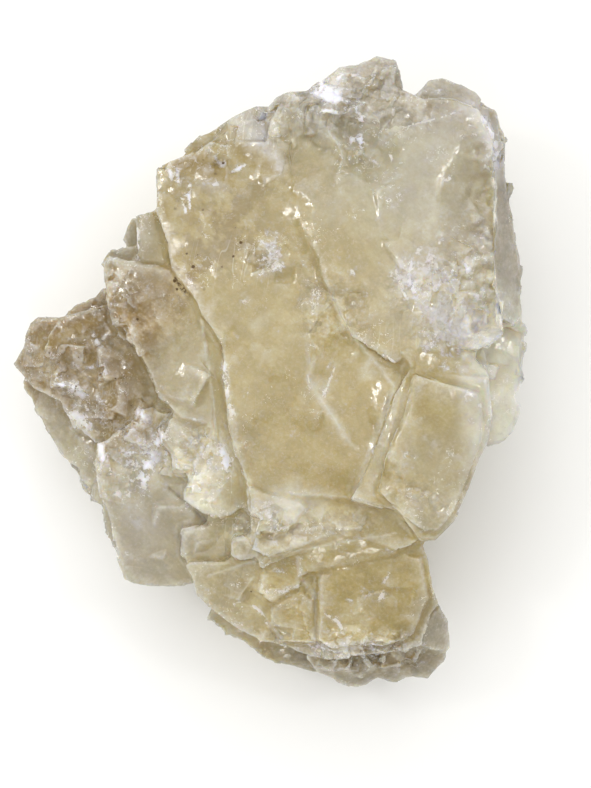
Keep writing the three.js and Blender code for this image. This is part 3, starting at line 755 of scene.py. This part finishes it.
def plate_relief(places, facing, random, count, reaches):
    """Flat plates bounded by cleavage lines, raised or sunk up to 1, on each of the three cleavages."""
    edges = GRAIN_EDGES.T
    low, high = places.min(axis=0), places.max(axis=0)
    relief = np.zeros(len(places))
    for first, second in ((0, 1), (0, 2), (1, 2)):
        normal = np.cross(edges[first], edges[second])
        normal /= np.linalg.norm(normal)
        facing_it = smooth(0.45, 0.85, np.abs(facing @ normal))
        basis = np.linalg.inv(np.stack([edges[first], edges[second], normal], axis=1))
        chosen = facing_it > 0.02
        spots = places[chosen] @ basis.T
        here = np.zeros(len(spots))
        for middle in random.uniform(low, high, (count, 3)) @ basis.T:
            reach = random.uniform(*reaches, 2)
            height = random.uniform(-1, 1)
            near = np.abs(spots[:, 2] - middle[2]) < PLATE_DEPTH
            off = (np.abs(spots[near, :2] - middle[:2]) - reach).max(axis=1)
            here[near] += height * smooth(0.22, -0.22, off)
        relief[chosen] += here * facing_it[chosen]
    return np.clip(relief, -1.5, 1.5)


def facet_relief(places, size, slope, seed):
    """Small flat facets: each place takes the height and the lean of its nearest cell."""
    random = np.random.default_rng(seed)
    jitter = random.uniform(0.08, 0.92, (FACET_LEANS, 3))
    lean = random.uniform(-slope, slope, (FACET_LEANS, 3))
    lift = random.uniform(-0.5, 0.5, FACET_LEANS) * slope * size
    base = np.floor(places / size).astype(int)
    nearest = np.full(len(places), 1e9)
    relief = np.zeros(len(places))
    for corner in np.ndindex(3, 3, 3):
        cell = base + corner - 1
        i = (cell[:, 0] * 73 + cell[:, 1] * 179 + cell[:, 2] * 283) % FACET_LEANS
        away = places - (cell + jitter[i]) * size
        distance = (away**2).sum(axis=1)
        closer = distance < nearest
        nearest[closer] = distance[closer]
        relief[closer] = lift[i[closer]] + (away[closer] * lean[i[closer]]).sum(axis=1)
    return relief


def chip_edges(places, facing, loose, weight, random, count, reaches):
    """Flat bevels and cleavage notches knocked out of the exposed edges."""
    places = places.copy()
    normals = cleavage_normals()
    grid = np.linalg.inv(GRAIN_EDGES)
    order = np.argsort(places[:, 0])
    sorted_x = places[order, 0]
    for index in random.choice(len(places), count, p=weight / weight.sum()):
        centre = places[index]
        reach = random.uniform(*reaches)
        first, last = np.searchsorted(sorted_x, (centre[0] - 1.5 * reach, centre[0] + 1.5 * reach))
        near = order[first:last]
        away = places[near] - centre
        notch = random.random() < NOTCH_SHARE * loose[index]
        turned = np.where((normals @ facing[index]) > 0.3, normals @ facing[index], 0)
        if notch and turned.sum() > 0:
            normal = normals[random.choice(6, p=turned / turned.sum())]
            depth = random.uniform(*NOTCH_DEPTHS) * reach
            cells = np.abs(away @ grid.T) / (random.uniform(0.4, 1.0, 3) * reach)
            inside = smooth(1.08, 0.92, cells.max(axis=1))
        else:
            normal = facing[index] + random.normal(0, BEVEL_LEAN, 3)
            normal /= np.linalg.norm(normal)
            depth = random.uniform(*BEVEL_DEPTHS) * reach
            inside = smooth(1, 0.6, np.linalg.norm(away, axis=1) / reach)
        height = np.clip(away @ normal + depth, 0, 1.5 * depth)
        places[near] -= (height * inside)[:, None] * normal
    return places


def sharpness(mesh, rounds):
    """How far each point stands out of (above 0) or lies in (below 0) its surroundings, in millimetres."""
    places = places_mm(mesh)
    return ((places - spread(places, edges_of(mesh), rounds)) * normals_of(mesh)).sum(axis=1)


def even_facing(mesh, rounds):
    """The way the surface faces, evened out over its surroundings."""
    facing = spread(normals_of(mesh), edges_of(mesh), rounds)
    return facing / np.maximum(np.linalg.norm(facing, axis=1, keepdims=True), 1e-9)


def move_out(mesh, distance_mm):
    """Every point of a mesh moved along the way it faces."""
    set_places(mesh, places_mm(mesh) + distance_mm * even_facing(mesh, 2))


def worn_swell(places, facing):
    """How far the upper side's points rise or sink, in millimetres, if its steps wear to even swells."""
    up = smooth(0.2, 0.6, facing[:, 2])
    across = (places[:, :2] - places[:, :2].min(axis=0)) / SWELL_CELL
    column = np.floor(across).astype(int)
    t = across - column
    shape = tuple(column.max(axis=0) + 2)
    offsets = np.arange(-3 * SWELL_REACH, 3 * SWELL_REACH + SWELL_CELL, SWELL_CELL)
    kernel = np.exp(-0.5 * (offsets / SWELL_REACH) ** 2)
    layers = []
    for values in (places[:, 2] * up, up):
        grid = np.zeros(shape)
        np.add.at(grid, tuple(column.T), values)
        for axis in (0, 1):
            grid = np.apply_along_axis(np.convolve, axis, grid, kernel, "same")
        layers.append(grid)
    level = layers[0] / np.maximum(layers[1], 1e-6)
    i, j = column.T
    worn = (
        level[i, j] * (1 - t[:, 0]) * (1 - t[:, 1]) + level[i + 1, j] * t[:, 0] * (1 - t[:, 1])
        + level[i, j + 1] * (1 - t[:, 0]) * t[:, 1] + level[i + 1, j + 1] * t[:, 0] * t[:, 1]
    )
    return (worn - places[:, 2]) * up


def gap_filling(solid, gap_mm):
    """What fills the gaps narrower than this, where crystals have grown into each other."""
    filling = rebuilt(new_object("gap filling", solid.data.copy()), FILLING_VOXEL)
    move_out(filling.data, gap_mm / 2)
    filling = rebuilt(filling, FILLING_VOXEL)
    move_out(filling.data, -gap_mm / 2 - FILLING_SINK)
    return filling


def joined(name, pieces):
    """One object of several pieces' surfaces; the pieces are removed."""
    corners, faces = [], []
    for piece in pieces:
        first = sum(len(part) for part in corners)
        faces += [tuple(i + first for i in face.vertices) for face in piece.data.polygons]
        corners.append(places_mm(piece.data) * MM)
        bpy.data.objects.remove(piece)
    mesh = bpy.data.meshes.new(name)
    mesh.from_pydata(np.concatenate(corners).tolist(), [], faces)
    return new_object(name, mesh)


def largest_island(piece):
    """The piece without the crumbs that hang on nothing."""
    mesh = piece.data
    edges = edges_of(mesh)
    island = np.arange(len(mesh.vertices))
    while True:
        before = island.copy()
        least = np.minimum(island[edges[:, 0]], island[edges[:, 1]])
        np.minimum.at(island, edges[:, 0], least)
        np.minimum.at(island, edges[:, 1], least)
        island = island[island]
        if (island == before).all():
            break
    crumbs = np.flatnonzero(island != np.bincount(island).argmax())
    work = bmesh.new()
    work.from_mesh(mesh)
    work.verts.ensure_lookup_table()
    bmesh.ops.delete(work, geom=[work.verts[i] for i in crumbs], context="VERTS")
    work.to_mesh(mesh)
    work.free()
    return piece


def carve(piece, form):
    """Steps, facets, chips and grain worked into the rebuilt surface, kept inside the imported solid's box."""
    mesh = piece.data
    random = np.random.default_rng(form.seed)
    grain = Grain(form.seed)
    places = places_mm(mesh)
    facing = even_facing(mesh, rounds=3)
    loose = looseness(places, facing, grain)
    standing = np.clip(sharpness(mesh, rounds=6), 0, 0.5)
    resting = smooth(1.2, 0.2, places[:, 2])
    top = smooth(0.3, 0.7, facing[:, 2])
    soft = patch_mask(places, SOFT_PATCHES, 6, grain)
    places[:, 2] += soft * worn_swell(places, facing)
    # chips, which fall on standing edges and leave the resting face and the worn swells alone
    weight = smooth(0.08, 0.3, standing) * (0.25 + 0.75 * loose) * (1 - resting) * (1 - soft) ** 2 + 1e-9
    chipped = places
    for reaches in CHIP_REACHES:
        chipped = chip_edges(chipped, facing, loose, weight, random, form.chips, reaches)
    # cleavage plates, facets and a slow swell, all laid on together along the way the surface faces
    step = form.step / MM
    relief = step * plate_relief(places, facing, random, *BROAD_PLATES) * (0.04 + 0.5 * loose)
    relief += step * plate_relief(places, facing, random, *FINE_PLATES) * 0.5 * loose
    relief += facet_relief(places, *FINE_FACETS, form.seed + 2) * loose**2
    relief += facet_relief(places, *BROAD_FACETS, form.seed + 9) * (0.04 + 0.6 * loose)
    relief += grain.rough(places, size_mm=18, octaves=3) * 0.3
    for _kind, half_width, depth, _strength, path in MARKS:
        relief -= depth * top * stroke(places, path, half_width)
    moved = chipped + facing * (relief * (1 - resting))[:, None]
    low, high = (np.array(corner) / MM for corner in SOLID_BOX)
    set_places(mesh, np.clip(moved, low, high))


def thinned(piece, most):
    """The piece with no more triangles than asked for."""
    now = sum(len(face.vertices) - 2 for face in piece.data.polygons)
    thin = piece.modifiers.new("Thin", "DECIMATE")
    thin.ratio = min(1, most / now)
    thin.use_collapse_triangulate = True
    return applied(piece)


# --- finish ---
def paint(piece, finish, seed):
    """Stores the colour zones, frost, stains, marks, bared edges, and the edges, rims and hollows for painted
    light and shade on the finished surface.
    """
    mesh = piece.data
    grain = Grain(seed + 100)
    places = places_mm(mesh)
    facing = spread(normals_of(mesh), edges_of(mesh), rounds=4)
    top = smooth(0.1, 0.5, facing[:, 2])
    palette = {name: np.array(getattr(finish, name.replace(" ", "_"))) for name, *_rest in COLOUR_ZONES}
    side = 0.5 + 0.5 * grain.rough(places, 22)[:, None]
    colour = palette["straw"] * side + palette["cream"] * (1 - side)
    total = colour * BASE_SHARE
    weights = np.full(len(places), BASE_SHARE)
    shift = np.stack([grain.rough(places, 12), grain.rough(places + 50, 12)], axis=1)
    for name, (x, y), (reach_x, reach_y), strength in COLOUR_ZONES:
        away = ((places[:, :2] - (x, y)) / (reach_x, reach_y) + ZONE_WANDER * shift) ** 2
        weight = strength * np.exp(-1.3 * away.sum(axis=1) ** 1.5) * (0.15 + 0.85 * top)
        total += weight[:, None] * palette[name]
        weights += weight
    store(mesh, "crystal_colour", total / weights[:, None])
    loose = looseness(places, facing, Grain(seed))
    store(mesh, "frost", patch_mask(places, FROST_PATCHES, 4, grain) * top + (1 - top) * 0.25 * loose)
    store(mesh, "stain", patch_mask(places, STAIN_PATCHES, 5, grain) * (0.3 + 0.7 * top))
    for kind in MARK_KINDS:
        drawn = np.zeros(len(places))
        for mark, half_width, _depth, strength, path in MARKS:
            if mark == kind:
                drawn = np.maximum(drawn, strength * stroke(places, path, half_width))
        store(mesh, "mark_" + kind, drawn * top)
    fine = sharpness(mesh, rounds=4)
    broad = sharpness(mesh, rounds=24)
    # Painted light: the fine sharp edges give painted highlights, partly real bared edges; the hollows give
    # painted shade and the place of the dirt; the broad rims are painted lighter, as thin edges let light
    # through.
    store(mesh, "edge", smooth(0.01, 0.10, fine))
    store(mesh, "pit", smooth(0.03, 0.22, -broad))
    store(mesh, "rim", smooth(0.12, 0.45, broad))
    store(mesh, "loose", loose)
    plates = plate_relief(places, facing, np.random.default_rng(seed + 7), *TONE_PLATES)
    store(mesh, "tone", np.clip(0.5 + 0.4 * plates, 0, 1))
    store(mesh, "clouds", 0.5 + 0.09 * grain.rough(places + 13, 22, 5))
    store(mesh, "flocks", 0.5 + 0.13 * grain.rough(places + 77, 14, 4))
    under = np.maximum(smooth(0.0, -0.6, facing[:, 2]), smooth(3, 0.5, places[:, 2]))
    store(mesh, "cloudy", np.maximum(under, patch_mask(places, CLOUDY_PATCHES, 8, grain)))


def calcite_material(finish):
    """Cloudy, glossy calcite: clear honey depths, white frost, painted glints, brown dirt and painted shade in
    the pits, lighter painted rims and fine cleavage lines.
    """
    material = bpy.data.materials.new("Calcite")
    material.use_nodes = True
    material.node_tree.nodes.clear()
    s = Nodes(material.node_tree)

    def mapped(vector, scale, turn=0.0):
        return s.value("ShaderNodeMapping", {}, vector, Rotation=(0, 0, turn), Scale=scale)

    def noise(vector, size_mm, detail, roughness):
        scale = 1 / size_mm
        return s.value("ShaderNodeTexNoise", Vector=vector, Scale=scale, Detail=detail, Roughness=roughness)

    def cells(vector, size_mm, distance="EUCLIDEAN"):
        kind = {"feature": "F1", "distance": distance}
        return s.node("ShaderNodeTexVoronoi", kind, Vector=vector, Scale=1 / size_mm).outputs

    def facets(vector, size_mm, slope):
        """Height of small flat facets, each leaning its own way."""
        cell = cells(vector, size_mm)
        away = s.vector("SUBTRACT", vector, cell["Position"])
        lean = s.vector("SUBTRACT", cell["Color"], (0.5, 0.5, 0.5))
        return s.vector("DOT_PRODUCT", away, lean, out="Value") * (2 * slope)

    # the places, in millimetres, turned with the grain or drawn out along it
    place = s.value("ShaderNodeTexCoord", out="Object")
    in_mm = mapped(place, PER_MM)
    along_grain = mapped(place, PER_MM, -CLEAVE_TURN)
    lined = mapped(along_grain, (1, 0.08, 1))
    streaked = mapped(mapped(in_mm, (1, 1, 1), 0.7), (0.2, 1, 1))
    shaken = s.value("ShaderNodeTexNoise", Vector=in_mm, Scale=0.5, Detail=1.0, out="Color")
    wandering = s.vector("MULTIPLY_ADD", shaken, (1.6, 1.6, 1.6), along_grain)

    # what the mesh stores
    clouds, flocks, tone, frost, stain, edge, pit, rim, loose, cloudy_part = map(
        s.attribute, ("clouds", "flocks", "tone", "frost", "stain", "edge", "pit", "rim", "loose", "cloudy"),
    )
    mark = {kind: s.attribute("mark_" + kind) for kind in MARK_KINDS}

    # fine patterns
    small = s.node("ShaderNodeSeparateColor", {}, cells(wandering, 3.5, "CHEBYCHEV")["Color"]).outputs
    small_tone, small_haze = Value(s, small[0]), Value(s, small[1])
    streaks = noise(streaked, 1.6, 2, 0.65)
    veils = 0.75 * noise(in_mm, 4.5, 3, 0.66) + 0.25 * streaks
    crumbs = noise(in_mm, 0.6, 3, 0.65)
    flecks = noise(along_grain, 1.6, 3, 0.62)
    flakes = 0.75 * noise(in_mm, 2.4, 4, 0.65) + 0.25 * streaks
    hairs = noise(lined, 2.0, 1, 0.5).line(0.5, 0.018) * flocks.rise(0.5, 0.6)
    dots = cells(in_mm, 1.8)
    chance = s.value("ShaderNodeSeparateColor", {}, dots["Color"])
    specks = Value(s, dots["Distance"]) + 0.25 * chance + 0.25 * crumbs

    # white frost; bright flakes, flecks and marks painted as glints; bared edges, partly real and partly a
    # painted highlight along every sharp edge; ochre bands; and dirt in specks and pits
    flaked = flakes + 0.2 * frost + 0.04 * loose
    frosty = (flaked.rise(0.58, 0.74) * (0.35 + 0.6 * crumbs.rise(0.35, 0.6)) + 0.2 * frost).clamp()
    pale = mark["pale"] * (0.4 + 0.8 * crumbs) + hairs * 0.5
    ochre = mark["ochre"].clamp()
    flake_rims = flaked.line(0.63, 0.010) * flocks.rise(0.48, 0.6) * (0.15 + 0.4 * loose + 0.2 * frost)
    fleck_rims = flecks.line(0.55, 0.013) * small_tone.rise(0.6, 0.68) * crumbs.rise(0.4, 0.55)
    white = flake_rims * crumbs.rise(0.4, 0.6)
    white = white + fleck_rims * (0.22 + 0.4 * flocks.rise(0.46, 0.56) + 0.3 * loose)
    white = white + edge * crumbs * (0.4 + 0.4 * loose)
    white = white + flecks.rise(0.67, 0.75) * (0.08 + 0.45 * loose)
    white = (white + mark["white"] * flecks.rise(0.38, 0.54)).clamp()
    dotted = specks.rise(0.37, 0.29) * flocks.rise(0.42, 0.52) * (0.15 + 2.2 * stain)
    dirty = (stain * pit.most(0.1) * crumbs.rise(0.4, 0.6)).clamp().most(dotted).clamp()

    # the colour, laid on from the inside out: how much, which colour and how it is mixed
    body = s.attribute("crystal_colour", out="Color")
    for factor, colour, *blend in (
        (clouds.rise(0.42, 0.68) * 0.15, finish.honey),
        (veils.rise(0.5, 0.62) * (0.06 + 0.34 * loose), finish.pale),
        (tone.rise(0.55, 1.0) * (0.05 + 0.3 * loose), finish.pale),
        (tone.rise(0.45, 0.0) * (0.08 + 0.25 * loose), SHADED_PLATE, "MULTIPLY"),
        (small_tone.rise(0.5, 1.0) * 0.5 * loose, finish.pale),
        (crumbs.rise(0.48, 0.72) * (0.16 + 0.3 * loose), finish.pale),
        (crumbs.rise(0.5, 0.3) * (0.2 + 0.3 * loose), SHADED_GRAIN, "MULTIPLY"),
        (stain * veils.rise(0.58, 0.44) * 0.9, finish.stain),
        # painted shade: the hollows darkened towards deep honey
        (pit * 0.2, finish.deep_honey),
        # painted light: broad convex rims lightened as if light came through the thin edges
        (rim * (0.05 + 0.45 * crumbs), finish.pale),
        (mark["milk"].clamp() * 0.85, finish.milk),
        (pale.clamp(), finish.pale),
        (mark["grey"] * 0.6, finish.slate),
        (frosty, finish.frost),
        (ochre * (0.4 + 0.8 * veils), finish.ochre),
        # painted highlights: glints on flakes, flecks and marks, and lit edges, some of them real bared white
        # edges
        (white, finish.glint),
        (dirty, finish.dirt),
    ):
        body = s.mix(factor, body, (*colour, 1.0), *blend)

    # the gloss and the small relief
    roughness = 0.09 + 0.35 * white + 0.3 * dirty + 0.06 * veils
    terraces = s.value("ShaderNodeMath", {"operation": "FLOOR"}, veils * 22) * (1 / 22)
    height = facets(along_grain, 1.1, 0.35) * (0.09 + 0.5 * loose) + terraces * (0.15 + 0.9 * loose)
    bump = s.value("ShaderNodeBump", Strength=0.8, Distance=MM, Height=height)

    # clear crystal, cloudy crystal, and a dull crust where it is dirty or crushed
    shared = {"Base_Color": body, "Roughness": roughness.clamp(), "Normal": bump, "IOR": finish.ior}
    scatter = {
        "Subsurface_Weight": 1.0, "Subsurface_Scale": SCATTER_REACH, "Subsurface_Radius": SCATTER_SHARES,
    }
    bsdf = "ShaderNodeBsdfPrincipled"
    clear = s.value(bsdf, Transmission_Weight=finish.clearness, **scatter, **shared)
    cloudy = s.value(bsdf, **scatter, **shared)
    crust = s.value(bsdf, Specular_IOR_Level=0.1, **shared)
    share = finish.cloudiness + (0.08 + 0.15 * loose) * veils.rise(0.4, 0.6)
    share = share + 0.08 * clouds.rise(0.4, 0.6) + cloudy_part
    share = share + (tone - 0.5) * (0.1 + 0.2 * loose) + (small_haze - 0.5) * 0.5 * loose + 0.3 * stain
    share = (share + 0.3 * mark["milk"] + 0.4 * ochre).most(white).most(0.7 * frosty).clamp()
    inside = s.value("ShaderNodeMixShader", {}, share, clear, cloudy)
    surface = s.value("ShaderNodeMixShader", {}, dirty.most(0.3 * white).most(0.6 * ochre), inside, crust)
    depth = s.value(
        "ShaderNodeVolumeAbsorption", Color=(*finish.depth_colour, 1.0), Density=finish.depth_density,
    )
    s.node("ShaderNodeOutputMaterial", Surface=surface, Volume=depth)
    return material


# --- operators ---
class CALCITE_OT_cluster(bpy.types.Operator):
    """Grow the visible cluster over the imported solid"""

    bl_idname = "calcite.cluster"
    bl_label = "Grow the cluster"

    def execute(self, context):
        form, finish = context.scene.calcite_form, context.scene.calcite_finish
        material = calcite_material(finish)
        solid = merged_copy(NODE, "solid copy")
        filling = gap_filling(solid, form.gap / MM)
        ground = rebuilt(new_object("loose blocks", solid.data.copy()), GROUND_VOXEL)
        facing = normals_of(ground.data)
        store(ground.data, "loose", looseness(places_mm(ground.data), facing, Grain(form.seed)) ** 1.5)
        values = {**BLOCKS, "Density": form.blocks, "Seed": form.seed, "Material": material}
        blocks = add_scatter(ground, block_scatter_tree(), values)
        cluster = rebuilt(joined("calcite_crystals", (solid, filling, blocks)), form.grain)
        cluster = largest_island(cluster)
        carve(cluster, form)
        cluster = thinned(cluster, form.triangles)
        cluster.data.name = "calcite_crystals"
        paint(cluster, finish, form.seed)
        cluster.data.materials.clear()
        cluster.data.materials.append(material)
        cluster.data.polygons.foreach_set("material_index", np.zeros(len(cluster.data.polygons), dtype=int))
        cluster.data.shade_smooth()
        cluster.data.set_sharp_from_angle(angle=form.crease)
        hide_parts(NODE)
        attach(cluster, "root")
        return {"FINISHED"}


class CALCITE_OT_stage(bpy.types.Operator):
    """Set the floor, the lights and the camera"""

    bl_idname = "calcite.stage"
    bl_label = "Set the stage"

    def execute(self, context):
        scene, stage = context.scene, context.scene.calcite_stage
        floor_mesh = bpy.data.meshes.new("floor")
        sides = ((-1, -1), (1, -1), (1, 1), (-1, 1))
        corners = [(FLOOR_REACH * x, FLOOR_REACH * y, FLOOR_LEVEL) for x, y in sides]
        floor_mesh.from_pydata(corners, [], [(0, 1, 2, 3)])
        floor = new_object("floor", floor_mesh)
        paper = bpy.data.materials.new("Paper")
        paper.use_nodes = True
        shell = paper.node_tree.nodes["Principled BSDF"]
        shell.inputs["Base Color"].default_value = PAPER
        shell.inputs["Roughness"].default_value = 0.8
        floor_mesh.materials.append(paper)

        for name, place, size, power, share in LAMPS:
            lamp = bpy.data.lights.new(name, "AREA")
            lamp.energy, lamp.size = share * getattr(stage, power), size
            light = new_object(name, lamp)
            light.location = place
            light.rotation_euler = (LAMPS_AIM - light.location).to_track_quat("-Z", "Y").to_euler()

        world = bpy.data.worlds.new("Studio")
        world.use_nodes = True
        sky = world.node_tree.nodes["Background"]
        sky.inputs["Color"].default_value = SKY
        sky.inputs["Strength"].default_value = stage.sky
        scene.world = world

        lens = bpy.data.cameras.new("camera")
        lens.lens, lens.sensor_width = stage.lens, 36
        lens.clip_start, lens.clip_end = 0.01, 20
        scene.camera = new_object("camera", lens)
        scene.camera.location = (*stage.axis, stage.height)
        scene.view_settings.view_transform = "Standard"
        return {"FINISHED"}


class CALCITE_PT_panel(bpy.types.Panel):
    """The cluster's sizes, colours and steps"""

    bl_idname = "CALCITE_PT_panel"
    bl_label = "Calcite cluster"
    bl_space_type = "VIEW_3D"
    bl_region_type = "UI"
    bl_category = "Calcite"

    def draw(self, context):
        for group, operator in (
            (context.scene.calcite_form, None),
            (context.scene.calcite_finish, CALCITE_OT_cluster.bl_idname),
            (context.scene.calcite_stage, CALCITE_OT_stage.bl_idname),
        ):
            box = self.layout.box()
            for name in group.__annotations__:
                box.prop(group, name)
            if operator:
                box.operator(operator)


GROUPS = (("calcite_form", CalciteForm), ("calcite_finish", CalciteFinish), ("calcite_stage", CalciteStage))
CLASSES = (*(group for _name, group in GROUPS), CALCITE_OT_cluster, CALCITE_OT_stage, CALCITE_PT_panel)


def register():
    for cls in CLASSES:
        bpy.utils.register_class(cls)
    for name, group in GROUPS:
        setattr(bpy.types.Scene, name, PointerProperty(type=group))


def unregister():
    for name, _group in GROUPS:
        delattr(bpy.types.Scene, name)
    for cls in reversed(CLASSES):
        bpy.utils.unregister_class(cls)


def main():
    register()
    bpy.ops.calcite.cluster()
    bpy.ops.calcite.stage()


if __name__ == "__main__":
    main()
